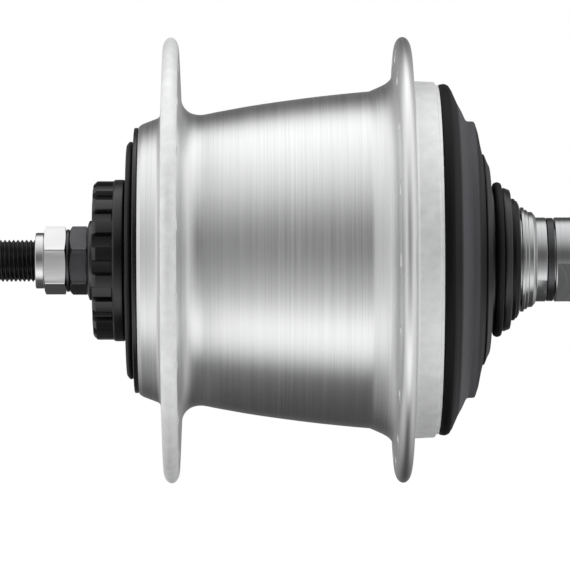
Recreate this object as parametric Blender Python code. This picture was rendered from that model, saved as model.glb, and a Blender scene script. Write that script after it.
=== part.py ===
"""Bicycle hub gear with stepped planets, a rotary shift sleeve and a splined brake boss.

The axle lies along X, the driven side is +X, and +Z is up. Every profile below is in
millimetres and is turned into metres when its mesh is made. Angles in the YZ plane run
from +Y towards +Z. The train stands in top gear: the large sun is locked to the axle and
the small sun idles.
"""

import math

import bmesh
import bpy
from mathutils import Matrix, Vector

MM = 0.001

# Driving dimensions
OVER_LOCKNUT = 135.0  # between the outer faces of the lock nuts
AXLE_LENGTH = 187.0
THREAD_R = 4.7625  # 3/8 in thread
AXLE_MID_R = 6.9
FLANGE_R = 50.3
SPOKE_PCD = 92.6
SPOKE_HOLES = 18  # on each flange
SPOKE_HOLE_R = 1.5
LEFT_FLANGE_X = -36.9
RIGHT_FLANGE_X = 15.24
MODULE = 1.1
PRESSURE = math.radians(25)
ADDENDUM = 0.8 * MODULE
DEDENDUM = 1.0 * MODULE
BACKLASH = 0.12
TEETH_SMALL_SUN = 18
TEETH_LARGE_SUN = 24
TEETH_PLANET_LARGE = 18
TEETH_PLANET_SMALL = 12
TEETH_RING = 48
PLANET_CENTRE_R = 19.8
PLANET_ANGLES = (90.0, 210.0, 330.0)
PIN_R = 2.5
BALL_R = 2.5
SPLINE_TEETH = 18
SPLINE_R = 17.93
SPLINE_ROOT_R = 16.5
SPLINE_ANGLE = 175.2
HEX_ANGLE = 159.0  # a corner of the left hexagons
BOSS_FLATS = 15.0
BOSS_FLAT_ANGLE = 227.0
AXLE_FLATS = 7.0
RATCHET_TEETH = 18
RATCHET_FACE = 0.0  # angle of one driving face
PAWL_HEAD = (28.0, 13.5)  # radius, and angle past a driving face
ROLLERS = 9
FINE = 36
MEDIUM = 24
COARSE = 18

FINISHES = {
    "brushed": ((0.74, 0.75, 0.76), 1.0, 0.34),
    "bright": ((0.80, 0.80, 0.82), 1.0, 0.2),
    "steel": ((0.55, 0.55, 0.56), 1.0, 0.32),
    "black": ((0.02, 0.02, 0.022), 0.0, 0.32),
    "oxide": ((0.05, 0.05, 0.052), 0.9, 0.4),
    "rubber": ((0.015, 0.015, 0.015), 0.0, 0.75),
}


# ---------------------------------------------------------------- helpers


def clear():
    for obj in list(bpy.data.objects):
        bpy.data.objects.remove(obj, do_unlink=True)


def material(name, finish):
    colour, metallic, roughness = FINISHES[finish]
    mat = bpy.data.materials.new(name)
    mat.use_nodes = True
    shader = mat.node_tree.nodes["Principled BSDF"]
    shader.inputs["Base Color"].default_value = (*colour, 1)
    shader.inputs["Metallic"].default_value = metallic
    shader.inputs["Roughness"].default_value = roughness
    mat.diffuse_color = (*colour, 1)
    return mat


def add(name, bm, finish=None, origin=(0, 0, 0)):
    """A node from a mesh in millimetres. With no finish it is a cutter."""
    bmesh.ops.recalc_face_normals(bm, faces=bm.faces)
    shift = Matrix.Translation(-Vector(origin))
    bmesh.ops.transform(bm, matrix=Matrix.Scale(MM, 4) @ shift, verts=bm.verts)
    mesh = bpy.data.meshes.new(name)
    bm.to_mesh(mesh)
    bm.free()
    obj = bpy.data.objects.new(name, mesh)
    obj.location = Vector(origin) * MM
    bpy.context.scene.collection.objects.link(obj)
    if finish:
        mesh.materials.append(material(name, finish))
        for face in mesh.polygons:
            face.use_smooth = True
        mesh.set_sharp_from_angle(angle=math.radians(32))
    else:
        obj.hide_render = True
        obj.display_type = "WIRE"
    return obj


def combine(obj, operation, *tools):
    for tool in tools:
        modifier = obj.modifiers.new(tool.name, "BOOLEAN")
        modifier.operation = operation
        modifier.solver = "EXACT"
        modifier.object = tool
    return obj


def polar(radius, degrees):
    angle = math.radians(degrees)
    return (radius * math.cos(angle), radius * math.sin(angle))


def circle(radius, count, centre=(0, 0), start=0.0):
    points = (polar(radius, start + 360 * i / count) for i in range(count))
    return [(centre[0] + y, centre[1] + z) for y, z in points]


def move(outline, centre):
    return [(y + centre[0], z + centre[1]) for y, z in outline]


def revolve_mesh(bm, profile, count):
    """Turns a closed (x, r) profile about X. Points with r = 0 become single vertices."""
    rings = []
    for x, r in profile:
        if r == 0:
            rings.append([bm.verts.new((x, 0, 0))] * count)
        else:
            rings.append([bm.verts.new((x, y, z)) for y, z in circle(r, count)])
    for a, b in zip(rings, rings[1:] + rings[:1]):
        for i in range(count):
            j = (i + 1) % count
            corners = list(dict.fromkeys([a[i], a[j], b[j], b[i]]))
            if len(corners) > 2:
                bm.faces.new(corners)


def revolve(name, profile, count=MEDIUM, finish=None):
    bm = bmesh.new()
    revolve_mesh(bm, profile, count)
    return add(name, bm, finish)


def plate_mesh(bm, x0, x1, outline, holes=()):
    """A flat plate from x0 to x1 with a (y, z) outline and holes."""
    caps = []
    for x in (x0, x1):
        edges = []
        loops = []
        for loop in (outline, *holes):
            ring = [bm.verts.new((x, y, z)) for y, z in loop]
            edges += [bm.edges.new((a, b)) for a, b in zip(ring, ring[1:] + ring[:1])]
            loops.append(ring)
        bmesh.ops.triangle_fill(bm, use_beauty=True, edges=edges)
        caps.append(loops)
    for low, high in zip(*caps):
        for i in range(len(low)):
            j = (i + 1) % len(low)
            bm.faces.new((low[i], low[j], high[j], high[i]))


def plate(name, x0, x1, outline, holes=(), finish=None, origin=(0, 0, 0)):
    bm = bmesh.new()
    plate_mesh(bm, x0, x1, outline, holes)
    return add(name, bm, finish, origin)


def rods(name, x0, x1, outlines, finish=None):
    """Several separate plates in one mesh."""
    bm = bmesh.new()
    for outline in outlines:
        plate_mesh(bm, x0, x1, outline)
    return add(name, bm, finish)


def sector(r0, r1, a0, a1, steps):
    """The outline of part of a ring between two angles in degrees."""
    angles = [a0 + (a1 - a0) * i / steps for i in range(steps + 1)]
    return [polar(r1, a) for a in angles] + [polar(r0, a) for a in reversed(angles)]


def box(name, low, high, turn=0.0):
    """A cutter box turned about X."""
    bm = bmesh.new()
    bmesh.ops.create_cube(bm, size=1)
    size = Vector(high) - Vector(low)
    middle = (Vector(high) + Vector(low)) / 2
    for vert in bm.verts:
        vert.co = Vector(c * s for c, s in zip(vert.co, size)) + middle
    bmesh.ops.rotate(bm, matrix=Matrix.Rotation(math.radians(turn), 3, "X"), verts=bm.verts)
    return add(name, bm)


def ring(name, x0, x1, r0, r1, finish, count=MEDIUM):
    return revolve(name, [(x0, r0), (x0, r1), (x1, r1), (x1, r0)], count, finish)


# ---------------------------------------------------------------- gears


def involute(angle):
    return math.tan(angle) - angle


def tooth_outline(teeth, inner, outer, phase, gap):
    """Outline of involute teeth with one centred at phase. gap thins each tooth."""
    pitch = MODULE * teeth / 2
    base = pitch * math.cos(PRESSURE)
    half = math.pi / (2 * teeth) - gap / (2 * pitch)
    radii = [pitch - inner, pitch + outer]
    points = []
    for i in range(teeth):
        centre = math.radians(phase) + 2 * math.pi * i / teeth
        flank = []
        for radius in radii:
            there = math.acos(min(1.0, base / radius))
            flank.append((radius, half + involute(PRESSURE) - involute(there)))
        for sign, side in ((-1, flank), (1, flank[::-1])):
            for radius, width in side:
                angle = centre + sign * width
                points.append((radius * math.cos(angle), radius * math.sin(angle)))
    return points


def external(teeth, phase):
    return tooth_outline(teeth, DEDENDUM, ADDENDUM, phase, BACKLASH)


def internal(teeth, phase):
    return tooth_outline(teeth, ADDENDUM, DEDENDUM, phase, -BACKLASH)


def notched(radius, depth_r, count, half_width, start):
    """A round hole with key notches."""
    points = []
    for i in range(count):
        middle = start + 360 * i / count
        for a, r in ((-half_width, radius), (-half_width, depth_r), (half_width, depth_r),
                     (half_width, radius)):
            points.append(polar(r, middle + a))
        rest = 360 / count - 2 * half_width
        for k in range(1, 6):
            points.append(polar(radius, middle + half_width + rest * k / 6))
    return points


def ball_cage(name, x, circle_r, count, half_x, half_r, finish="steel"):
    """Balls on a circle, joined by the ring of their cage."""
    bm = bmesh.new()
    for i in range(count):
        y, z = polar(circle_r, 360 * i / count)
        place = Matrix.Translation((x, y, z)) @ Matrix.Rotation(math.radians(90), 4, "Y")
        bmesh.ops.create_uvsphere(bm, u_segments=6, v_segments=4, radius=BALL_R, matrix=place)
    balls = add(name + "_balls", bm)
    profile = [(x - half_x, circle_r - half_r), (x - half_x, circle_r + half_r),
               (x + half_x, circle_r + half_r), (x + half_x, circle_r - half_r)]
    return combine(revolve(name, profile, COARSE, finish), "UNION", balls)


# ---------------------------------------------------------------- axle group


def make_axle():
    end, top = AXLE_LENGTH / 2, THREAD_R
    profile = [(-end, 0), (-end, 4.2), (-end + 0.6, top), (-44, top), (-44, AXLE_MID_R),
               (14.4, AXLE_MID_R), (14.4, top), (end - 0.6, top), (end, 4.2), (end, 0)]
    axle = revolve("axle", profile, MEDIUM, "oxide")
    for side in (-1, 1):
        for face in (-1, 1):
            x = sorted((side * (end + 1), side * 77.0))
            y = sorted((face * AXLE_FLATS / 2, face * 8))
            combine(axle, "DIFFERENCE", box("flat", (x[0], y[0], -8), (x[1], y[1], 8), 0))
    slot = box("key_slot", (1.1, -1.35, 5.0), (14.1, 1.35, 9.0))
    combine(axle, "DIFFERENCE", slot)


def make_sun_lock_key():
    profile = [(1.5, 5.2), (1.5, 8.0), (7.4, 8.0), (8.2, 6.55), (13.8, 6.55), (13.8, 5.2)]
    bm = bmesh.new()
    sides = [[bm.verts.new((x, y, z)) for x, z in profile] for y in (-1.15, 1.15)]
    bm.faces.new(sides[0])
    bm.faces.new(sides[1])
    for i in range(len(profile)):
        j = (i + 1) % len(profile)
        bm.faces.new((sides[0][i], sides[0][j], sides[1][j], sides[1][i]))
    add("sun_lock_key", bm, "steel")


def hexagon(across_flats, angle):
    return circle(across_flats / 2 / math.cos(math.pi / 6), 6, start=angle)


def make_left_lock_nut():
    nut = plate("left_lock_nut", -65.5, -60.6, hexagon(13.86, HEX_ANGLE), finish="bright")
    collar = revolve("collar", [(-67.5, 0), (-67.5, 6.0), (-67.2, 6.3), (-65.65, 6.3),
                                (-65.2, 6.0), (-65.2, 0)], MEDIUM)
    bore = ring("bore", -70, -58, 0, 4.85, None)
    combine(nut, "UNION", collar)
    combine(nut, "DIFFERENCE", bore)


def make_right_lock_nut():
    nut = plate("right_lock_nut", 60.2, 65.6, hexagon(16.0, 0), finish="bright")
    collar = revolve("collar", [(65.2, 0), (65.2, 6.8), (67.2, 6.8), (67.5, 6.5), (67.5, 0)],
                     MEDIUM)
    combine(nut, "UNION", collar)
    combine(nut, "DIFFERENCE", ring("bore", 58, 70, 0, 4.85, None))


def make_left_cone():
    cone = revolve("left_cone", [(-56.2, 0), (-56.2, 6.8), (-56.0, 7.0), (-55.4, 9.0),
                                 (-52.05, 9.0), (-49.35, 6.3), (-46.0, 6.3), (-46.0, 0)],
                   MEDIUM, "black")
    hexed = plate("cone_hex", -59.8, -56.1, hexagon(14.0, HEX_ANGLE))
    combine(cone, "UNION", hexed)
    combine(cone, "DIFFERENCE", ring("bore", -70, -40, 0, 4.85, None))


def make_tab_washer():
    hole = circle(4.9, COARSE)
    plate("left_tab_washer", -60.5, -59.9, circle(7.06, MEDIUM), [hole], "black")


def make_right_cone():
    outer = [(30.0, 0), (30.0, 7.4), (36.35, 7.4), (38.85, 9.9), (41.85, 9.9), (41.85, 11.8),
             (42.5, 11.8), (43.3, 11.2), (44.4, 10.8), (45.2, 9.9), (45.4, 9.5), (47.45, 9.5),
             (47.45, 7.5), (49.4, 7.5), (49.4, 9.3), (49.6, 9.5), (58.2, 9.5), (58.5, 9.2),
             (58.5, 0)]
    cone = revolve("right_cone", outer, MEDIUM, "bright")
    bore = revolve("bore", [(29, 0), (29, 6.1), (49.45, 6.1), (49.85, 4.85), (60, 4.85), (60, 0)],
                   MEDIUM)
    combine(cone, "DIFFERENCE", bore)
    half = BOSS_FLATS / 2
    for sign in (-1, 1):
        y = sorted((sign * half, sign * 12))
        flat = box("flat", (49.85, y[0], -12), (60, y[1], 12), BOSS_FLAT_ANGLE)
        combine(cone, "DIFFERENCE", flat)
    windows = [sector(5.5, 8.6, a, a + 124, 6) for a in (28, 208)]
    combine(cone, "DIFFERENCE", rods("windows", 47.5, 49.2, windows))


def make_shifter():
    sleeve = ring("shift_sleeve", 15.0, 48.85, 4.87, 5.85, "steel", COARSE)
    cams = [sector(4.2, 6.6, a, a + 50, 3) for a in (120, 300)]
    combine(sleeve, "DIFFERENCE", rods("cam_gaps", 14.0, 16.6, cams))
    notches = [sector(4.0, 6.5, a - 9.5, a + 9.5, 1) for a in (40, 220)]
    combine(sleeve, "DIFFERENCE", rods("lug_notches", 47.5, 51, notches))
    band = plate("shift_ring", 47.65, 49.05, circle(9.4, MEDIUM), [circle(7.65, MEDIUM)],
                 "black")
    lugs = rods("lugs", 47.7, 49.0, [sector(5.0, 8.4, a - 8, a + 8, 2) for a in (40, 220)])
    combine(band, "UNION", lugs)


def make_return_spring():
    """Torsion spring round the shift sleeve."""
    bm = bmesh.new()
    turns, per_turn, wire, coil = 3, 12, 0.45, 7.6
    rows = []
    for i in range(turns * per_turn + 1):
        angle = 2 * math.pi * i / per_turn
        x = 17.0 + 1.9 * i / per_turn
        row = []
        for k in range(4):
            a = 2 * math.pi * k / 4
            r = coil + wire * math.cos(a)
            row.append(bm.verts.new((x + wire * math.sin(a), r * math.cos(angle),
                                     r * math.sin(angle))))
        rows.append(row)
    for a, b in zip(rows, rows[1:]):
        for k in range(4):
            m = (k + 1) % 4
            bm.faces.new((a[k], a[m], b[m], b[k]))
    bm.faces.new(rows[0])
    bm.faces.new(rows[-1])
    add("shift_return_spring", bm, "steel")


def make_suns():
    phase = PLANET_ANGLES[0] + 180 / TEETH_LARGE_SUN
    hole = notched(7.0, 8.3, 4, 10.5, 90)
    plate("large_sun_gear", 1.0, 7.8, external(TEETH_LARGE_SUN, phase), [hole], "steel")
    phase = PLANET_ANGLES[0] + 180 / TEETH_SMALL_SUN
    plate("small_sun_gear", -8.3, -1.2, external(TEETH_SMALL_SUN, phase),
          [circle(7.0, MEDIUM)], "steel")
    ring("sun_spacer", -0.9, 0.7, 7.0, 8.6, "steel")
    plate("sun_circlip", -9.1, -8.6, sector(7.0, 8.4, 20, 340, 18), (), "steel")


# ---------------------------------------------------------------- shell group


def flange(x, half_root, root_r, half_rim):
    """Profile points over one spoke flange, from its left root to its right root."""
    side = [(half_root, root_r), (half_rim, 47.7), (half_rim - 0.35, 49.4),
            (0.7, FLANGE_R)]
    return [(x - w, r) for w, r in side] + [(x + w, r) for w, r in reversed(side)]


def make_shell():
    barrel = [(-34.1, 34.7), (-32.6, 33.4), (-30.4, 32.8), (-27.1, 33.4), (-17.3, 35.05),
              (-5.0, 36.75), (7.8, 38.0), (9.4, 38.7), (11.85, 40.0)]
    outer = [(-44.15, 19.1), (-44.15, 30.15), (-43.4, 30.7), (-39.95, 32.1)]
    outer += flange(LEFT_FLANGE_X, 2.2, 36.0, 1.75) + barrel
    outer += flange(RIGHT_FLANGE_X, 2.0, 41.0, 1.75)
    outer += [(18.2, 40.3), (22.5, 40.05), (22.7, 39.4), (23.2, 39.4)]
    inner = [(23.2, 37.8), (13.9, 37.8), (13.9, 33.2), (-12.5, 33.2), (-14.5, 29.6),
             (-33.0, 29.6), (-40.9, 26.5), (-40.9, 19.1)]
    shell = revolve("hub_shell", outer + inner, FINE, "brushed")
    holes = []
    for i in range(SPOKE_HOLES):
        holes.append(circle(SPOKE_HOLE_R, 6, polar(SPOKE_PCD / 2, 20 * i + 10)))
    combine(shell, "DIFFERENCE", rods("left_holes", -42, -32, holes))
    holes = [circle(SPOKE_HOLE_R, 6, polar(SPOKE_PCD / 2, 20 * i)) for i in range(SPOKE_HOLES)]
    combine(shell, "DIFFERENCE", rods("right_holes", 10, 20, holes))


def make_brake_boss():
    points = []
    for i in range(SPLINE_TEETH):
        middle = SPLINE_ANGLE + 360 * i / SPLINE_TEETH
        for a, r in ((-6.2, SPLINE_ROOT_R), (-4.6, SPLINE_R), (4.6, SPLINE_R),
                     (6.2, SPLINE_ROOT_R)):
            points.append(polar(r, middle + a))
    boss = plate("brake_spline_boss", -54.45, -49.6, points, finish="black")
    envelope = revolve("envelope", [(-54.5, 0), (-54.5, 17.1), (-53.65, 18.2), (-49, 18.2),
                                    (-49, 0)], MEDIUM)
    body = [(-50.0, 0), (-50.0, 17.6), (-49.6, 18.1), (-49.0, 18.2), (-47.4, 18.2),
            (-44.0, 18.8), (-40.6, 18.8), (-40.6, 23.0), (-39.0, 23.0), (-39.0, 0)]
    bore = [(-55, 0), (-55, 13.9), (-49.45, 13.9), (-45.85, 10.3), (-38, 10.3), (-38, 0)]
    combine(boss, "INTERSECT", envelope)
    combine(boss, "UNION", revolve("body", body, MEDIUM))
    combine(boss, "DIFFERENCE", revolve("bore", bore, MEDIUM))


def make_left_discs():
    revolve("left_dust_disc", [(-46.9, 18.9), (-46.9, 26.4), (-46.5, 26.9), (-45.8, 26.9),
                               (-45.4, 26.4), (-45.4, 18.9)], FINE, "black")
    revolve("left_seal_plate", [(-45.2, 19.0), (-45.2, 29.8), (-45.0, 29.93), (-44.3, 29.93),
                                (-44.3, 19.0)], FINE, "black")
    ring("left_dust_cap", -54.2, -53.4, 9.5, 13.8, "black")


def make_right_race():
    profile = [(14.3, 28.7), (14.3, 32.6), (17.6, 34.2), (17.6, 37.65), (22.6, 37.65),
               (22.6, 31.7), (20.15, 31.7), (17.15, 28.7)]
    revolve("right_race_ring", profile, FINE, "steel")


def make_ratchet():
    points = []
    for i in range(RATCHET_TEETH):
        a = RATCHET_FACE + 360 * i / RATCHET_TEETH
        points += [polar(30.4, a), polar(32.0, a), polar(31.2, a + 10)]
    plate("ratchet_ring", 8.6, 13.4, circle(33.0, FINE), [points], "steel")


def make_clutch_drum():
    profile = [(-32.3, 20.6), (-32.3, 29.4), (-30.8, 29.4), (-30.8, 22.8), (-17.6, 22.8),
               (-17.6, 20.6)]
    revolve("clutch_drum", profile, MEDIUM, "steel")


# ---------------------------------------------------------------- driver group


def make_driver():
    profile = [(22.8, 10.4), (22.8, 22.0), (20.6, 22.6), (20.6, 24.65), (23.5, 27.55),
               (26.0, 27.55), (26.8, 19.2), (34.8, 19.2), (34.8, 17.65), (34.4, 17.3),
               (34.4, 16.36), (35.5, 16.36),
               (35.6, 15.6), (37.5, 15.6), (37.6, 16.0), (38.0, 16.15), (39.4, 15.7),
               (39.4, 13.9), (35.35, 13.9), (31.85, 10.4)]
    driver = revolve("driver", profile, MEDIUM, "black")
    teeth = [sector(12.1, 14.6, a + 21, a + 107, 6) for a in (0, 120, 240)]
    combine(driver, "UNION", rods("dogs", 19.9, 23.4, teeth))


def make_right_cover():
    outer = [(23.4, 39.5), (24.0, 39.7), (25.2, 39.5), (26.1, 38.35), (27.4, 35.5),
             (28.4, 33.7), (29.2, 32.0), (29.95, 31.2), (31.3, 31.2), (32.2, 28.2),
             (33.1, 24.1), (33.1, 19.3)]
    inner = [(31.9, 19.3), (31.0, 28.2), (30.2, 29.9), (28.9, 30.1), (25.0, 37.6),
             (23.4, 38.3)]
    revolve("right_dust_cover", outer + inner, FINE, "black")


def make_driver_seals():
    revolve("right_dust_seal", [(33.2, 19.35), (33.2, 23.8), (33.5, 23.8), (34.7, 21.3),
                                (34.7, 19.35)], FINE, "black")
    section = [(36.55 + 0.92 * math.cos(a), 16.62 + 0.88 * math.sin(a))
               for a in (math.pi / 4 * k for k in range(8))]
    revolve("driver_seal_ring", section, MEDIUM, "rubber")
    revolve("right_seal_cap", [(38.95, 10.7), (38.95, 13.7), (39.7, 13.75), (40.45, 13.75), (40.6, 13.4), (41.2, 13.1), (41.6, 12.45),
                               (41.6, 10.7)], MEDIUM, "black")


# ---------------------------------------------------------------- planet train


def make_carrier():
    left = [(-30.2, 7.0), (-30.2, 14.0), (-12.2, 14.0), (-12.2, 24.4), (-9.4, 24.4), (-9.4, 7.0)]
    right = [(9.2, 7.0), (9.2, 24.4), (11.6, 24.4), (11.6, 15.0), (19.4, 15.0), (19.4, 11.5),
             (12.4, 11.5), (11.8, 7.0)]
    carrier = revolve("planet_carrier", left, MEDIUM, "steel")
    combine(carrier, "UNION", revolve("right_half", right, MEDIUM))
    posts = [circle(3.9, 8, polar(PLANET_CENTRE_R, a + 60), 5) for a in PLANET_ANGLES]
    combine(carrier, "UNION", rods("posts", -9.9, 9.7, posts))
    cam = []
    for i in range(ROLLERS):
        a = 360 * i / ROLLERS
        cam += [polar(15.9, a - 8), polar(15.9, a + 8), polar(17.1, a + 20)]
    combine(carrier, "UNION", plate("cam", -28.6, -20.2, cam, [circle(12.4, 15, start=3)]))
    dogs = [sector(12.1, 14.4, a - 13, a + 13, 2) for a in (4, 124, 244)]
    combine(carrier, "UNION", rods("dogs", 19.0, 22.4, dogs))
    pins = [circle(2.58, 12, polar(PLANET_CENTRE_R, a)) for a in PLANET_ANGLES]
    combine(carrier, "DIFFERENCE", rods("pin_holes", -14, 14, pins))


def make_planets():
    for i, angle in enumerate(PLANET_ANGLES, 1):
        centre = polar(PLANET_CENTRE_R, angle)
        origin = (0, *centre)
        wide = move(external(TEETH_PLANET_LARGE, angle + 180), centre)
        narrow = move(external(TEETH_PLANET_SMALL, angle + 180), centre)
        planet = plate(f"planet_gear_{i}", -8.6, -0.7, wide, (), "steel", origin)
        combine(planet, "UNION", plate("step", -1.5, 7.8, narrow))
        combine(planet, "DIFFERENCE", plate("bore", -10, 10, circle(2.68, 12, centre)))
        plate(f"planet_pin_{i}", -12.1, 11.5, circle(PIN_R, 12, centre), (), "steel", origin)


def pawl_point(radius, past, turn):
    return polar(radius, RATCHET_FACE + past + turn)


def make_ring_gear():
    phase = PLANET_ANGLES[0]
    gear = plate("ring_gear", 1.0, 8.5, circle(29.4, FINE), [internal(TEETH_RING, phase)],
                 "steel")
    combine(gear, "UNION", ring("pawl_body", 8.2, 13.6, 25.2, 29.9, None, FINE))
    pockets = [sector(26.2, 31, turn - 1.5, turn + 18, 5) for turn in (0, 180)]
    combine(gear, "DIFFERENCE", rods("pockets", 8.55, 14.2, pockets))
    combine(gear, "DIFFERENCE", ring("groove", 10.4, 11.6, 28.7, 32, None, 30))
    plate("pawl_spring_ring", 10.65, 11.35, sector(29.0, 29.6, 100, 440, 24), (), "steel")


def make_pawls():
    shape = [(31.3, 1.2), (29.6, 1.5), (28.2, 5), (26.9, 10), (26.5, 13.5), (27.0, 15.6),
             (28.0, 16.5), (29.0, 15.6), (29.5, 13.5)]
    for i, turn in enumerate((0, 180), 1):
        outline = [pawl_point(r, a, turn) for r, a in shape]
        origin = (11.0, *pawl_point(*PAWL_HEAD, turn))
        pawl = plate(f"pawl_{i}", 8.9, 13.2, outline, (), "steel", origin)
        combine(pawl, "DIFFERENCE", ring("groove", 10.4, 11.6, 28.7, 33, None, FINE))


def make_roller_cage():
    rollers = [circle(2.0, 6, polar(18.1, 360 * i / ROLLERS)) for i in range(ROLLERS)]
    cage = ring("clutch_roller_cage", -29.7, -28.9, 17.3, 19.1, "steel", COARSE)
    combine(cage, "UNION", rods("rollers", -29.3, -19.5, rollers))
    combine(cage, "UNION", ring("cage_ring", -19.9, -19.1, 17.3, 19.1, None, COARSE))


def make_bearings():
    ball_cage("left_ball_cage", -50.3, 11.0, 9, 0.5, 0.6)
    ball_cage("right_ball_cage", 36.2, 11.0, 9, 0.5, 0.6)
    ball_cage("shell_ball_cage", 21.0, 28.8, 12, 0.5, 0.6)


clear()
make_axle()
make_sun_lock_key()
make_left_lock_nut()
make_right_lock_nut()
make_left_cone()
make_tab_washer()
make_right_cone()
make_shifter()
make_return_spring()
make_suns()
make_shell()
make_brake_boss()
make_left_discs()
make_right_race()
make_ratchet()
make_clutch_drum()
make_driver()
make_right_cover()
make_driver_seals()
make_carrier()
make_planets()
make_ring_gear()
make_pawls()
make_roller_cage()
make_bearings()
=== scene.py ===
"""Looks of the bicycle hub gear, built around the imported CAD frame.

Sizes are in millimetres and become metres when a mesh is made. The axle lies along X, the
driven side is +X and +Z is up. Profiles are (x, radius, fillet) points turned about X.
"""

import math

import bmesh
import bpy
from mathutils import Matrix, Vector


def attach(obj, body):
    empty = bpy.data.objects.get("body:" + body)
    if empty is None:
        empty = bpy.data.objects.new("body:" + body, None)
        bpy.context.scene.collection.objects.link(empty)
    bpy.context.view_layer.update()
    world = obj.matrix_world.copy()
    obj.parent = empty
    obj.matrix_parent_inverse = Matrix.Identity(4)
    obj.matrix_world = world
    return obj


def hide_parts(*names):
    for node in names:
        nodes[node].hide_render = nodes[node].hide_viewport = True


MM = 0.001
ROUND = 192  # segments round a large turned piece
SMALL = 96  # segments round a small one
SHARP = 32  # an edge is sharp when its faces meet at more degrees than this

THREAD_R = 4.7625
THREAD_PITCH = 25.4 / 26
THREAD_DEPTH = 0.55
THREAD_START = 58.0  # both ends are threaded from here outwards
AXLE_END = 93.5
AXLE_TIP = 0.7  # chamfered length of each end
AXLE_CORE_R = 6.9
AXLE_CORE_X = (-44.0, 14.4)
AXLE_FLAT_X = 77.0
AXLE_FLAT = 3.5
BORE_R = 4.85  # of the nuts and cones on the axle
FLANGE_R = 50.3
FLANGE_HALF = 1.85  # half of a flange's thickness at the spoke holes
FLANGE_TIP_R = 47.6  # a flange's rounded rim starts here
FLANGE_TIP_HALF = 1.78
LEFT_FLANGE_X = -36.9
RIGHT_FLANGE_X = 15.24
SPOKES = 18  # in each flange
SPOKE_R = 46.3
SPOKE_HOLE_R = 1.5
COUNTERSINK = 0.35
SPLINE_TEETH = 18
SPLINE_ANGLE = 175.2
LEFT_HEX_ANGLE = 162.0
BOSS_FLAT_ANGLE = 223.5

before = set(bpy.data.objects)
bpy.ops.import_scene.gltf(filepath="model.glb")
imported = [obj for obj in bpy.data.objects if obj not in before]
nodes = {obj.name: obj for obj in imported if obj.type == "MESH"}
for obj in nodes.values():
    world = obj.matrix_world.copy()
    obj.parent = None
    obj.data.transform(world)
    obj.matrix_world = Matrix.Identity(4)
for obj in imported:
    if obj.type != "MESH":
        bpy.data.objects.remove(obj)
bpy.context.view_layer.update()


# ---------------------------------------------------------------- profiles


def polar(radius, degrees):
    angle = math.radians(degrees)
    return (radius * math.cos(angle), radius * math.sin(angle))


def turned_point(u, v, angle):
    c, s = math.cos(angle), math.sin(angle)
    return (u * c - v * s, u * s + v * c)


def filleted(points):
    """Rounds the corners of a closed 2D outline of (a, b, fillet) points."""
    corners = [(Vector(p[:2]), p[2] if len(p) > 2 else 0) for p in points]
    out = []
    count = len(corners)
    for i, (here, radius) in enumerate(corners):
        before = corners[i - 1][0]
        after = corners[(i + 1) % count][0]
        if not radius:
            out.append(tuple(here))
            continue
        a = (before - here).normalized()
        b = (after - here).normalized()
        half = math.acos(max(-1, min(1, a.dot(b)))) / 2
        reach = radius / math.tan(half)
        reach = min(reach, 0.49 * (before - here).length, 0.49 * (after - here).length)
        radius = reach * math.tan(half)
        centre = here + (a + b).normalized() * (radius / math.sin(half))
        start = here + a * reach - centre
        turn = (here + b * reach - centre).angle_signed(start)
        steps = max(2, math.ceil(abs(turn) / math.radians(15)))
        for k in range(steps + 1):
            u, v = turned_point(start.x, start.y, turn * k / steps)
            out.append((centre.x + u, centre.y + v))
    return out


def smooth(points, steps=4):
    """A Catmull-Rom curve through the points."""
    pts = [points[0], *points, points[-1]]
    out = [points[0]]
    for p0, p1, p2, p3 in zip(pts, pts[1:], pts[2:], pts[3:]):
        for k in range(1, steps + 1):
            t = k / steps
            out.append(tuple(
                0.5 * (2 * b + (c - a) * t + (2 * a - 5 * b + 4 * c - d) * t * t
                       + (3 * b - a - 3 * c + d) * t ** 3)
                for a, b, c, d in zip(p0, p1, p2, p3)))
    return out


# ---------------------------------------------------------------- meshes


def place_object(name, data):
    obj = bpy.data.objects.new(name, data)
    bpy.context.scene.collection.objects.link(obj)
    return obj


def shade(mesh, sharp):
    for face in mesh.polygons:
        face.use_smooth = True
    mesh.set_sharp_from_angle(angle=math.radians(sharp))


def make_object(name, bm, sharp=SHARP):
    """Turns a bmesh in millimetres into an object in metres."""
    bmesh.ops.recalc_face_normals(bm, faces=bm.faces)
    bmesh.ops.scale(bm, vec=(MM, MM, MM), verts=bm.verts)
    mesh = bpy.data.meshes.new(name)
    bm.to_mesh(mesh)
    bm.free()
    shade(mesh, sharp)
    return place_object(name, mesh)


def bridge(bm, rows):
    """Fills quads between each ring of vertices and the next."""
    for a, b in zip(rows, rows[1:]):
        for i in range(len(a)):
            j = (i + 1) % len(a)
            bm.faces.new((a[i], a[j], b[j], b[i]))


def rings_mesh(rings):
    """A closed surface through rings of points; the last ring joins the first."""
    bm = bmesh.new()
    rows = [[bm.verts.new(p) for p in ring] for ring in rings]
    bridge(bm, rows + rows[:1])
    return bm


def capped_mesh(rings):
    """A closed surface through rings of points, with a face on each end."""
    bm = bmesh.new()
    rows = [[bm.verts.new(p) for p in ring] for ring in rings]
    bridge(bm, rows)
    bm.faces.new(rows[0])
    bm.faces.new(rows[-1])
    return bm


def lathe(name, profile, count=ROUND):
    """Turns a closed profile about X."""
    rings = []
    for x, r in filleted(profile):
        rings.append([(x, *polar(r, 360 * i / count)) for i in range(count)])
    return make_object(name, rings_mesh(rings))


def lofted(name, outline, stations, bore, sharp):
    """An outline of (radius, degrees) along X, cut down to each station's limit."""
    angles = [a for _, a in outline]
    rings = [[(stations[0][0], *polar(bore, a)) for a in angles]]
    for x, limit in stations:
        rings.append([(x, *polar(min(r, limit), a)) for r, a in outline])
    rings.append([(stations[-1][0], *polar(bore, a)) for a in angles])
    return make_object(name, rings_mesh(rings), sharp)


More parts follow.
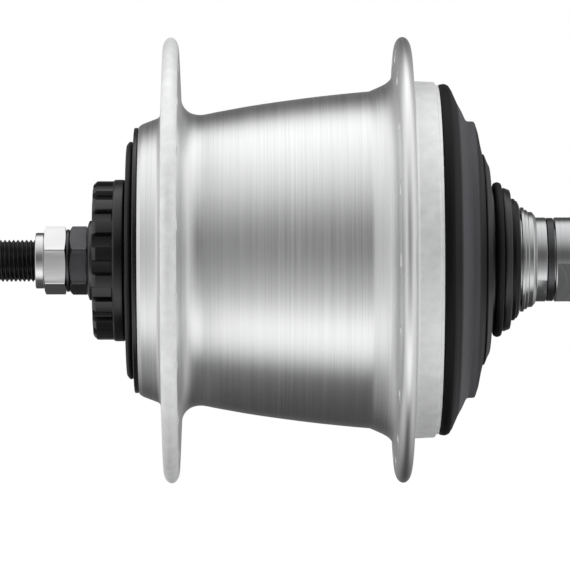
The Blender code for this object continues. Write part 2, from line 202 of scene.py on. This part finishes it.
def cut(obj, tool, operation="DIFFERENCE"):
    """Applies one exact Boolean and removes the tool."""
    modifier = obj.modifiers.new("cut", "BOOLEAN")
    modifier.operation = operation
    modifier.solver = "EXACT"
    modifier.object = tool
    graph = bpy.context.evaluated_depsgraph_get()
    mesh = bpy.data.meshes.new_from_object(obj.evaluated_get(graph))
    obj.modifiers.clear()
    obj.data = mesh
    bpy.data.objects.remove(tool)
    shade(mesh, SHARP)
    return obj


def join_meshes(name, parts):
    """One object from the meshes of several, which are removed."""
    bm = bmesh.new()
    for part in parts:
        bm.from_mesh(part.data)
        bpy.data.objects.remove(part)
    mesh = bpy.data.meshes.new(name)
    bm.to_mesh(mesh)
    bm.free()
    return place_object(name, mesh)


def hex_outline(flats, angle, corner=0.35, crown=6.0):
    """A hexagon with rounded corners and faintly crowned sides, as (y, z) points."""
    across = flats / 2 / math.cos(math.pi / 6)
    centre = flats / 2 - across / 2 / math.tan(math.radians(crown))
    reach = across / 2 / math.sin(math.radians(crown))
    rise = reach * (1 - math.cos(math.radians(crown)))
    outline = []
    for k in range(6):
        outline.append((*polar(across - 0.12, angle + 60 * k), corner))
        side = math.radians(angle + 60 * k + 30)
        for step in range(-4, 5):
            bend = math.radians(crown * step / 5)
            outline.append(turned_point(centre + reach * math.cos(bend) - rise,
                                        reach * math.sin(bend), side))
    return filleted(outline)


def prism(name, x0, x1, outline):
    """A solid with the outline's shape from x0 to x1."""
    ends = [[(x, y, z) for y, z in outline] for x in (x0, x1)]
    return make_object(name, capped_mesh(ends))


def hex_nut(name, x0, x1, flats, angle, left_chamfer, right_chamfer):
    """A hexagon whose corners are turned down to a cone at each end."""
    corner = flats / 2 / math.cos(math.pi / 6) + 0.2
    blank = lathe(name, [
        (x0, BORE_R, 0.15), (x0, flats / 2 - 0.15), (x0 + left_chamfer, corner),
        (x1 - right_chamfer, corner), (x1, flats / 2 - 0.15), (x1, BORE_R, 0.15)], SMALL)
    return cut(blank, prism("hexagon", x0 - 1, x1 + 1, hex_outline(flats, angle)),
               "INTERSECT")


# ---------------------------------------------------------------- materials


class Nodes:
    """Short names for building the nodes of one material or world."""

    def __init__(self, owner, shader="Principled BSDF"):
        owner.use_nodes = True
        self.owner = owner
        self.tree = owner.node_tree
        self.shader = self.tree.nodes[shader]

    def node(self, kind, **values):
        made = self.tree.nodes.new(kind)
        for key, value in values.items():
            setattr(made, key, value)
        return made

    def link(self, source, target):
        self.tree.links.new(source, target)

    def feed(self, source, name):
        """Links a value to an input of the shader."""
        self.link(source, self.shader.inputs[name])

    def set(self, **values):
        for key, value in values.items():
            self.shader.inputs[key.replace("_", " ").title()].default_value = value

    def specular(self, value):
        self.shader.inputs["Specular IOR Level"].default_value = value

    def math(self, operation, a, b=None):
        made = self.node("ShaderNodeMath", operation=operation)
        for socket, value in zip(made.inputs, (a, b)):
            if isinstance(value, (int, float)):
                socket.default_value = value
            elif value is not None:
                self.link(value, socket)
        return made.outputs[0]

    def weighted(self, a, a_share, b, b_share):
        return self.math("ADD", self.math("MULTIPLY", a, a_share),
                         self.math("MULTIPLY", b, b_share))

    def object_place(self):
        return self.node("ShaderNodeTexCoord").outputs["Object"]

    def axes(self, vector):
        split = self.node("ShaderNodeSeparateXYZ")
        self.link(vector, split.inputs[0])
        return split.outputs

    def radius(self, y, z):
        return self.math("SQRT", self.math("ADD", self.math("MULTIPLY", y, y),
                                           self.math("MULTIPLY", z, z)))

    def turned(self, along, around):
        """Coordinates that change fast along a turned profile and slowly round it."""
        x, y, z = self.axes(self.object_place())
        path = self.math("ADD", x, self.radius(y, z))
        join = self.node("ShaderNodeCombineXYZ")
        self.link(self.math("MULTIPLY", path, along), join.inputs[0])
        self.link(self.math("MULTIPLY", y, around), join.inputs[1])
        self.link(self.math("MULTIPLY", z, around), join.inputs[2])
        return join.outputs[0]

    def noise(self, vector, scale=1.0, detail=3.0, roughness=0.5):
        made = self.node("ShaderNodeTexNoise")
        made.inputs["Scale"].default_value = scale
        made.inputs["Detail"].default_value = detail
        made.inputs["Roughness"].default_value = roughness
        self.link(vector, made.inputs["Vector"])
        return made.outputs[0]

    def span(self, value, low, high, start=0.3, end=0.7):
        """Maps a value in start..end to low..high."""
        made = self.node("ShaderNodeMapRange")
        for socket, number in zip(made.inputs[1:5], (start, end, low, high)):
            socket.default_value = number
        self.link(value, made.inputs[0])
        return made.outputs[0]

    def blend(self, value, low, high, start=0.3, end=0.7):
        """Maps a value in start..end to a colour between two."""
        made = self.node("ShaderNodeValToRGB")
        ramp = made.color_ramp.elements
        ramp[0].position, ramp[1].position = start, end
        ramp[0].color, ramp[1].color = (*low, 1), (*high, 1)
        self.link(value, made.inputs[0])
        return made.outputs[0]

    def pick(self, factor, first, second):
        """Goes from one texture value to another as the factor goes from 0 to 1."""
        made = self.node("ShaderNodeMix", data_type="FLOAT")
        self.link(factor, made.inputs[0])
        self.link(first, made.inputs[2])
        self.link(second, made.inputs[3])
        return made.outputs[0]

    def tint(self, factor, colour, level):
        """Goes from a colour to plain grey as the factor goes from 0 to 1."""
        made = self.node("ShaderNodeMix", data_type="RGBA")
        made.inputs[7].default_value = (level, level, level, 1)
        self.link(factor, made.inputs[0])
        self.link(colour, made.inputs[6])
        return made.outputs[2]

    def bump(self, height, distance, strength=0.5):
        made = self.node("ShaderNodeBump")
        made.inputs["Strength"].default_value = strength
        made.inputs["Distance"].default_value = distance * MM
        self.link(height, made.inputs["Height"])
        self.feed(made.outputs[0], "Normal")

    def stretch(self, anisotropic):
        """Stretches reflections across marks that run round the axle."""
        tangent = self.node("ShaderNodeTangent", direction_type="RADIAL", axis="X")
        self.feed(tangent.outputs[0], "Tangent")
        self.set(anisotropic=anisotropic, anisotropic_rotation=0.25)


def grey(value, tint=0.0):
    return (value * (1 - tint), value, value * (1 + tint))


def brushed_metal(name, low, high, rough, lines, bump):
    """Bright metal with fine turning marks round the axle."""
    n = Nodes(bpy.data.materials.new(name))
    fine = n.noise(n.turned(lines, 55), detail=4, roughness=0.6)
    wide = n.noise(n.turned(lines / 9, 22), detail=2)
    mixed = n.weighted(fine, 0.65, wide, 0.35)
    n.feed(n.blend(mixed, grey(low, 0.008), grey(high, 0.008), 0.34, 0.64), "Base Color")
    n.feed(n.span(mixed, *rough, 0.34, 0.64), "Roughness")
    n.bump(fine, bump, 0.6)
    n.set(metallic=1.0)
    n.stretch(0.3)
    return n.owner


def coated(name, low, high, rough, grain, bump, metallic=0.0, specular=0.5, lines=0.0):
    """Paint, plastic, oxide or plating with a fine grain and faint turning marks."""
    n = Nodes(bpy.data.materials.new(name))
    small = n.noise(n.object_place(), grain, 4, 0.6)
    if lines:
        small = n.weighted(small, 0.5, n.noise(n.turned(lines, 30)), 0.5)
    large = n.noise(n.object_place(), grain / 25, 2)
    n.feed(n.blend(large, low, high), "Base Color")
    n.feed(n.span(small, *rough), "Roughness")
    n.bump(small, bump)
    n.set(metallic=metallic)
    n.specular(specular)
    return n.owner


def shell_metal():
    """Finely brushed aluminium; the driven side's rim and the left flange keep a duller,
    mottled skin."""
    n = Nodes(bpy.data.materials.new("brushed_aluminium"))
    fine = n.noise(n.turned(6500, 35), roughness=0.6)
    streak = n.noise(n.turned(2300, 16), detail=2)
    mixed = n.weighted(fine, 0.55, streak, 0.45)
    mottle = n.noise(n.object_place(), 330, 4, 0.6)
    x, y, z = n.axes(n.object_place())
    rim = n.span(x, 0, 1, 0.0174, 0.0178)
    flange = n.math("MULTIPLY", n.span(n.radius(y, z), 0, 1, 0.0468, 0.0482),
                    n.span(x, 1, 0, -0.02, 0))
    skin = n.math("MAXIMUM", rim, flange)
    surface = n.pick(skin, mixed, n.math("ADD", n.math("MULTIPLY", mottle, 0.6), 0.2))
    shade = n.math("ADD", surface, n.math("MULTIPLY", skin, 0.3))
    n.feed(n.blend(shade, grey(0.66, 0.004), grey(0.93, 0.004), 0.36, 0.92), "Base Color")
    n.feed(n.math("ADD", n.span(surface, 0.33, 0.41, 0.36, 0.62),
                  n.math("MULTIPLY", skin, 0.33)), "Roughness")
    n.feed(n.math("SUBTRACT", 1, n.math("MULTIPLY", skin, 0.3)), "Metallic")
    n.bump(surface, 0.01)
    n.stretch(0.6)
    return n.owner


def cover_paint():
    """Satin black paint with a dark grey middle step."""
    n = Nodes(bpy.data.materials.new("cover_paint"))
    marks = n.noise(n.turned(1200, 30))
    mixed = n.weighted(n.noise(n.object_place(), 2500, 4, 0.6), 0.5, marks, 0.5)
    x = n.axes(n.object_place())[0]
    step = n.math("MULTIPLY", n.span(x, 0, 1, 0.0270, 0.0276), n.span(x, 1, 0, 0.0311, 0.0315))
    shade = n.weighted(n.noise(n.object_place(), 90, 2), 0.15, step, 0.75)
    n.feed(n.blend(shade, (0.002, 0.002, 0.0023), (0.075, 0.075, 0.083), 0.1, 0.9),
           "Base Color")
    n.feed(n.span(mixed, 0.46, 0.6), "Roughness")
    n.bump(mixed, 0.006)
    n.specular(0.15)
    return n.owner


def finish(piece, body, material, *replaced):
    """Gives a piece its material and puts it in the place of its CAD node."""
    piece.data.materials.clear()
    piece.data.materials.append(material)
    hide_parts(*replaced)
    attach(piece, body)
    return piece


# ---------------------------------------------------------------- pieces


def stations_between(start, stop, step):
    """Places every step after start and before stop."""
    x = start + step
    while x < stop:
        yield x
        x += step


def axle_radius(x, turn):
    """Radius of a threaded end, with its chamfer and its flats."""
    wave = abs(((x / THREAD_PITCH - turn) % 1) - 0.5) * 2
    radius = THREAD_R - THREAD_DEPTH * max(0, min(1, 1.25 * wave - 0.12))
    radius = min(radius, THREAD_R - 0.75 + (AXLE_END - abs(x)) * 1.2)
    if abs(x) > AXLE_FLAT_X:
        radius = min(radius, AXLE_FLAT / max(0.01, abs(math.cos(2 * math.pi * turn))))
    return radius


def axle():
    """The axle: two threaded ends with flats for the dropouts, and a thicker middle."""
    step = THREAD_PITCH / 8
    inner, tip = AXLE_END - AXLE_TIP, AXLE_END - 0.3
    left = [-AXLE_END, -tip, -inner, *stations_between(-inner, -THREAD_START, step)]
    right = [*stations_between(THREAD_START, inner, step), inner, tip, AXLE_END]
    plain = THREAD_START - 0.1
    core_start, core_end = AXLE_CORE_X
    middle = [(-plain, THREAD_R), (core_start, THREAD_R), (core_start, AXLE_CORE_R),
              (core_end, AXLE_CORE_R), (core_end, THREAD_R), (plain, THREAD_R)]
    turns = [k / 72 for k in range(72)]
    rings = [[(x, *polar(axle_radius(x, turn), 360 * turn)) for turn in turns] for x in left]
    rings += [[(x, *polar(r, 360 * turn)) for turn in turns] for x, r in middle]
    rings += [[(x, *polar(axle_radius(x, turn), 360 * turn)) for turn in turns] for x in right]
    return make_object("axle_visual", capped_mesh(rings), 50)


def spoke_cutters(middle, start):
    """Drills for one flange, with a small countersink at each face."""
    x0, x1 = middle - FLANGE_HALF, middle + FLANGE_HALF
    wide = SPOKE_HOLE_R + COUNTERSINK + 2.6
    profile = ((x0 - 3, wide), (x0 + COUNTERSINK, SPOKE_HOLE_R),
               (x1 - COUNTERSINK, SPOKE_HOLE_R), (x1 + 3, wide))
    rods = []
    for i in range(SPOKES):
        y, z = polar(SPOKE_R, start + 360 / SPOKES * i)
        rings = [[(x, y + a, z + b) for a, b in (polar(r, 15 * k) for k in range(24))]
                 for x, r in profile]
        rods.append(make_object("drill", capped_mesh(rings)))
    return join_meshes("drills", rods)


def flange_tip(middle):
    """The rounded rim of a flange, as half of a tall ellipse."""
    angles = [math.radians(t) for t in range(0, 181, 12)]
    return [(middle - FLANGE_TIP_HALF * math.cos(a),
             FLANGE_TIP_R + (FLANGE_R - FLANGE_TIP_R) * math.sin(a)) for a in angles]


def hub_shell():
    """Barrel and two flanges in one, with its bore and its spoke holes."""
    left_valley = [(-34.72, 38.5), (-34.62, 36.4), (-34.15, 34.85), (-33.1, 33.65),
                   (-31.8, 33.02), (-30.2, 32.82), (-28.6, 33.05), (-27.1, 33.36),
                   (-23.9, 33.95), (-19.1, 34.8), (-12.3, 35.8), (-5.0, 36.75),
                   (0, 37.3), (4.0, 37.7), (7.7, 38.02)]
    right_rise = [(8.15, 38.2), (9.4, 38.75), (11.0, 39.5), (12.1, 40.25), (12.9, 41.3),
                  (13.2, 42.8)]
    left, right = LEFT_FLANGE_X, RIGHT_FLANGE_X
    profile = [(-44.15, 19.1), (-44.15, 30.2, 0.25), (-43.3, 30.8, 1.0),
               (-39.35, 32.3, 1.2), (left - 2.2, 36.0)]
    profile += flange_tip(left)
    profile += smooth(left_valley)
    profile += smooth(right_rise)
    profile += flange_tip(right)
    profile += [(right + 2.05, 40.35, 0.9), (22.4, 40.1, 0.35), (22.6, 39.4, 0.1),
                (23.2, 39.4, 0.1), (23.2, 37.8), (13.9, 37.8), (13.9, 33.2),
                (-12.5, 33.2), (-14.5, 29.6), (-33.0, 29.6), (-40.9, 26.5),
                (-40.9, 19.1)]
    shell = lathe("hub_shell_visual", profile, 216)
    cut(shell, spoke_cutters(left, 180 / SPOKES))
    cut(shell, spoke_cutters(right, 0))
    return shell


def brake_boss():
    """Splined boss: trapezoid teeth, a chamfered face and a rounded collar."""
    half = [(17.93, 0), (17.93, 2.2), (17.9, 4.3), (17.6, 4.75), (16.55, 5.9), (16.5, 6.6)]
    tooth = [(r, -a) for r, a in half[:0:-1]] + half + [(16.5, 180 / SPLINE_TEETH)]
    outline = []
    for k in range(SPLINE_TEETH):
        outline += [(r, SPLINE_ANGLE + 360 / SPLINE_TEETH * k + a) for r, a in tooth]
    stations = [(-54.45, 16.9), (-54.35, 17.15), (-53.6, 17.86), (-53.3, 17.94),
                (-49.8, 17.94)]
    teeth = lofted("brake_boss_visual", outline, stations, 13.9, 28)
    body = lathe("collar", [
        (-50.1, 13.9), (-50.1, 17.5, 0.3), (-49.7, 18.25, 0.8), (-47.35, 18.25, 0.6),
        (-47.2, 17.4), (-45.0, 17.4), (-44.0, 18.8), (-40.6, 18.8), (-40.6, 23.0),
        (-39.0, 23.0), (-39.0, 10.3), (-45.85, 10.3), (-49.45, 13.9)])
    return join_meshes("brake_boss_visual", [teeth, body])


def left_lock_nut():
    """Hexagon with a round collar on its outer side."""
    hexed = hex_nut("left_lock_nut_visual", -65.5, -60.6, 13.86, LEFT_HEX_ANGLE, 0.35, 0.35)
    collar = lathe("collar", [(-67.5, BORE_R, 0.2), (-67.5, 6.3, 0.25), (-65.75, 6.3, 0.15),
                              (-65.45, 6.0), (-65.45, BORE_R)], SMALL)
    return join_meshes("left_lock_nut_visual", [hexed, collar])


def left_cone():
    """Bearing cone with a spanner hexagon on its outer side."""
    hexed = hex_nut("left_cone_visual", -59.8, -55.9, 14.0, LEFT_HEX_ANGLE, 0.9, 0.1)
    body = lathe("cone_body", [
        (-56.1, BORE_R), (-56.1, 7.0), (-55.95, 7.3, 0.2), (-55.35, 9.0, 0.3), (-52.05, 9.0),
        (-49.35, 6.3), (-46.0, 6.3), (-46.0, BORE_R)], SMALL)
    return join_meshes("left_cone_visual", [hexed, body])


def left_small_rings():
    """Tab washer, dust cap, dust disc and seal plate."""
    washer = lathe("left_tab_washer_visual", [
        (-60.5, 4.9), (-60.5, 7.06, 0.12), (-59.9, 7.06, 0.12), (-59.9, 4.9)], SMALL)
    finish(washer, "axle_group", black_steel, "left_tab_washer")
    cap = lathe("left_dust_cap_visual", [
        (-54.2, 9.5, 0.2), (-54.2, 12.6), (-53.9, 13.1, 0.3), (-53.9, 13.8), (-53.3, 13.8),
        (-53.3, 9.5, 0.2)], SMALL)
    finish(cap, "shell_group", black_plastic, "left_dust_cap")
    disc = lathe("left_dust_disc_visual", [
        (-46.6, 18.9), (-46.9, 19.4, 0.2), (-46.9, 26.0, 0.5), (-46.15, 26.95, 0.8),
        (-45.4, 26.6, 0.3), (-45.4, 18.9)])
    finish(disc, "shell_group", black_plastic, "left_dust_disc")
    plate = lathe("left_seal_plate_visual", [
        (-45.2, 19.0), (-45.2, 29.8, 0.2), (-45.0, 29.95, 0.2), (-44.3, 29.95, 0.15),
        (-44.3, 19.0)])
    finish(plate, "shell_group", black_paint, "left_seal_plate")


def right_cone():
    """Cone with its turned flange, cylinder and flatted boss in one piece."""
    profile = [
        (30.0, 6.1), (30.0, 7.4), (36.35, 7.4), (38.85, 9.9), (41.8, 9.9), (41.85, 11.8, 0.06),
        (42.5, 11.8, 0.15), (42.6, 11.25, 0.06), (43.25, 11.2, 0.15), (43.4, 10.8, 0.1),
        (44.4, 10.75, 0.4), (45.1, 9.9, 0.3), (45.15, 9.5, 0.1), (47.45, 9.5, 0.15),
        (47.45, 7.5), (49.4, 7.5), (49.4, 9.5, 0.2), (58.5, 9.5, 0.5), (58.5, BORE_R, 0.3),
        (49.85, BORE_R), (49.45, 6.1)]
    cone = lathe("right_cone_visual", profile, SMALL)
    beyond = 12  # clear of the cone's outside
    for x0, x1, half in ((49.75, 60, 7.5), (45.3, 48, 9.22)):
        for side in (0, 180):
            angle = math.radians(BOSS_FLAT_ANGLE + side)
            corners = [turned_point(u, v, angle) for u, v in (
                (half, -beyond), (beyond, -beyond), (beyond, beyond), (half, beyond))]
            cut(cone, prism("flat", x0, x1, corners))
    sweep = 124
    for start in (28, 208):
        angles = [start + sweep * k / 12 for k in range(13)]
        window = [polar(8.6, a) for a in angles] + [polar(5.5, a) for a in reversed(angles)]
        cut(cone, prism("window", 47.5, 49.2, window))
    return cone


def right_side():
    """Cover, seals, driver, cone, shift ring and lock nut of the driven side."""
    cover = lathe("right_dust_cover_visual", [
        (23.4, 38.3), (23.4, 39.5, 0.3), (24.6, 39.72, 1.0), (25.5, 39.35, 0.8),
        (26.15, 38.3, 1.0), (27.4, 35.5), (28.4, 33.7), (29.3, 31.75), (29.75, 31.25, 0.4),
        (31.35, 31.2, 0.45), (32.0, 29.2, 0.6), (32.55, 26.4), (33.1, 24.1, 0.4),
        (33.1, 19.3), (31.9, 19.3), (31.0, 28.2), (30.2, 29.9), (28.9, 30.1),
        (25.0, 37.6)])
    finish(cover, "driver_group", dome_paint, "right_dust_cover")
    seal = lathe("right_dust_seal_visual", [
        (33.2, 19.35), (33.2, 23.8, 0.15), (33.55, 23.8, 0.2), (34.2, 22.2, 0.6),
        (34.7, 21.2, 0.25), (34.75, 19.35)])
    finish(seal, "driver_group", black_plastic, "right_dust_seal")
    driver = lathe("driver_visual", [
        (22.8, 10.4), (22.8, 22.0), (20.6, 22.6), (20.6, 24.65), (23.5, 27.55),
        (26.0, 27.55), (26.8, 19.2), (34.8, 19.2, 0.2), (34.8, 17.65, 0.1),
        (34.45, 17.3, 0.1), (34.45, 16.4), (35.45, 16.36, 0.15), (35.55, 15.6),
        (37.5, 15.6), (37.55, 16.05, 0.1), (38.1, 16.2, 0.2), (39.4, 15.7, 0.35),
        (39.4, 13.9), (35.35, 13.9), (31.85, 10.4)])
    finish(driver, "driver_group", black_paint, "driver")
    ring = lathe("driver_seal_ring_visual", [
        (35.6, 15.75), (35.65, 17.2, 0.5), (36.55, 17.55, 0.7), (37.45, 17.2, 0.5),
        (37.5, 15.75)])
    finish(ring, "driver_group", rubber, "driver_seal_ring")
    cap = lathe("right_seal_cap_visual", [
        (38.95, 10.7), (38.95, 13.6), (39.6, 13.75, 0.15), (40.45, 13.75, 0.3),
        (40.6, 13.35, 0.1), (41.0, 13.2, 0.3), (41.4, 12.4, 0.2), (41.5, 10.7)], SMALL)
    finish(cap, "driver_group", black_plastic, "right_seal_cap")
    finish(right_cone(), "axle_group", turned_steel, "right_cone")
    band = lathe("shift_ring_visual", [
        (47.6, 7.65), (47.6, 9.4, 0.2), (49.15, 9.4, 0.2), (49.15, 7.65)], SMALL)
    finish(band, "shifter", black_steel, "shift_ring")
    hexed = hex_nut("right_lock_nut_visual", 60.2, 65.6, 16.0, 0, 0.5, 0.5)
    collar = lathe("collar", [(65.5, BORE_R), (65.5, 6.6), (65.7, 6.8, 0.15),
                              (67.5, 6.8, 0.25), (67.5, BORE_R, 0.2)], SMALL)
    nut = join_meshes("right_lock_nut_visual", [hexed, collar])
    finish(nut, "axle_group", plated, "right_lock_nut")


# ---------------------------------------------------------------- build

aluminium = shell_metal()
plated = coated("plated_steel", (0.60, 0.60, 0.60), (0.68, 0.68, 0.675), (0.13, 0.2), 1800,
                0.002, metallic=1.0)
turned_steel = brushed_metal("turned_steel", 0.42, 0.50, (0.15, 0.24), 4200, 0.003)
ground = brushed_metal("ground_steel", 0.40, 0.58, (0.25, 0.4), 4000, 0.01)
black_paint = coated("black_paint", (0.002, 0.002, 0.0024), (0.004, 0.004, 0.0046),
                     (0.2, 0.32), 2500, 0.005, specular=0.5, lines=1500)
dome_paint = cover_paint()
black_plastic = coated("black_plastic", (0.002, 0.002, 0.0024), (0.005, 0.005, 0.0056),
                       (0.3, 0.44), 2200, 0.006, specular=0.2, lines=900)
black_steel = coated("black_steel", (0.06, 0.06, 0.064), (0.09, 0.09, 0.094),
                     (0.24, 0.36), 3000, 0.005, metallic=0.9, specular=0.2, lines=2500)
oxide = coated("black_oxide", (0.012, 0.012, 0.013), (0.028, 0.028, 0.029),
               (0.26, 0.42), 3500, 0.008, metallic=0.6)
rubber = coated("rubber", (0.002, 0.002, 0.002), (0.004, 0.004, 0.004), (0.4, 0.6),
                2600, 0.012, specular=0.2)

finish(axle(), "axle_group", oxide, "axle")
finish(hub_shell(), "shell_group", aluminium, "hub_shell")
finish(brake_boss(), "shell_group", black_paint, "brake_spline_boss")
finish(left_lock_nut(), "axle_group", plated, "left_lock_nut")
finish(left_cone(), "axle_group", black_steel, "left_cone")
left_small_rings()
right_side()

spring_steel = coated("spring_steel", (0.20, 0.20, 0.21), (0.30, 0.30, 0.31), (0.22, 0.38),
                      2400, 0.006, metallic=1.0)
hardened = coated("hardened_steel", (0.30, 0.29, 0.27), (0.42, 0.41, 0.39), (0.24, 0.4), 1600,
                  0.008, metallic=1.0, lines=2600)
HARD = ("gear", "race", "ratchet", "drum", "carrier", "pawl_1", "pawl_2")
SPRUNG = ("spring", "circlip", "key")
for name, node in nodes.items():
    kind = ground
    if any(word in name for word in HARD):
        kind = hardened
    if any(word in name for word in SPRUNG):
        kind = spring_steel
    node.data.materials.clear()
    node.data.materials.append(kind)


# ---------------------------------------------------------------- stage


FLOOR_Z = -160.0
FLOOR_HALF = 1250.0
SIDE_LIGHT = 1.05  # brightness to both sides along the axle
SIDE_SHARE = 0.85  # how much of it replaces the light round the axle
ROUND_LIGHT = (  # (angle round the axle from the front, upwards, in degrees; brightness)
    (-180, 0.30), (-152, 0.07), (-112, 0.10), (-87, 0.14), (-79, 0.62), (-66, 1.35),
    (-48, 1.5), (-36, 1.0), (-24, 0.6), (-12, 0.42), (3, 0.2), (20, 0.2), (34, 0.42),
    (48, 0.75), (64, 1.05), (84, 1.3), (108, 1.5), (121, 1.1), (131, 0.3), (146, 0.06),
    (166, 0.18), (180, 0.30))


def floor():
    """A pale floor, which polished parts don't reflect."""
    n = Nodes(bpy.data.materials.new("floor"))
    grain = n.noise(n.object_place(), 40)
    n.feed(n.blend(grain, grey(0.9 * 0.985), grey(0.9)), "Base Color")
    n.set(roughness=0.9)
    mesh = bpy.data.meshes.new("floor")
    corners = ((-1, -1), (1, -1), (1, 1), (-1, 1))
    mesh.from_pydata([Vector((FLOOR_HALF * x, FLOOR_HALF * y, FLOOR_Z)) * MM
                      for x, y in corners], [], [(0, 1, 2, 3)])
    mesh.materials.append(n.owner)
    obj = place_object("floor", mesh)
    obj.visible_glossy = False


def studio_world():
    """Soft light whose brightness follows the angle round the axle's direction.

    The camera sees plain white in its place.
    """
    n = Nodes(bpy.data.worlds.new("studio"), "Background")
    x, y, z = n.axes(n.node("ShaderNodeTexCoord").outputs["Generated"])
    angle = n.math("ARCTAN2", z, n.math("MULTIPLY", y, -1))
    ramp = n.node("ShaderNodeValToRGB")
    n.link(n.span(angle, 0, 1, -math.pi, math.pi), ramp.inputs[0])
    elements = ramp.color_ramp.elements
    while len(elements) < len(ROUND_LIGHT):
        elements.new(0.5)
    for element, (degrees, value) in zip(elements, ROUND_LIGHT):
        element.position = (degrees + 180) / 360
        element.color = (value, value, value, 1)
    aside = n.span(n.math("ABSOLUTE", x), 0, SIDE_SHARE, 0.3, 0.85)
    light = n.tint(aside, ramp.outputs[0], SIDE_LIGHT)
    seen = n.node("ShaderNodeLightPath").outputs["Is Camera Ray"]
    n.feed(n.tint(seen, light, 1), "Color")
    bpy.context.scene.world = n.owner


def overhead_light():
    """A wide light for the floor, which neither the camera nor a reflection sees."""
    light = bpy.data.lights.new("overhead", "AREA")
    light.shape = "RECTANGLE"
    light.size = light.size_y = 2400 * MM
    light.energy = 11.0
    obj = place_object("overhead", light)
    obj.location = (0, 0, 1100 * MM)
    obj.visible_camera = False
    obj.visible_glossy = False


floor()
studio_world()
overhead_light()

bpy.context.scene.view_settings.view_transform = "Standard"

CAMERA_X = -20.3
CAMERA_DISTANCE = 1030.0
CAMERA_ROLL = 0.14
camera_data = bpy.data.cameras.new("camera")
camera_data.lens = 288.0
camera_data.sensor_width = 36.0
camera_data.shift_x = 0.0702
camera_data.shift_y = -0.0435
camera_data.clip_start = 0.01
camera = place_object("camera", camera_data)
camera.location = Vector((CAMERA_X, -CAMERA_DISTANCE, 0)) * MM
camera.rotation_euler = (math.radians(90), math.radians(CAMERA_ROLL), 0)
bpy.context.scene.camera = camera
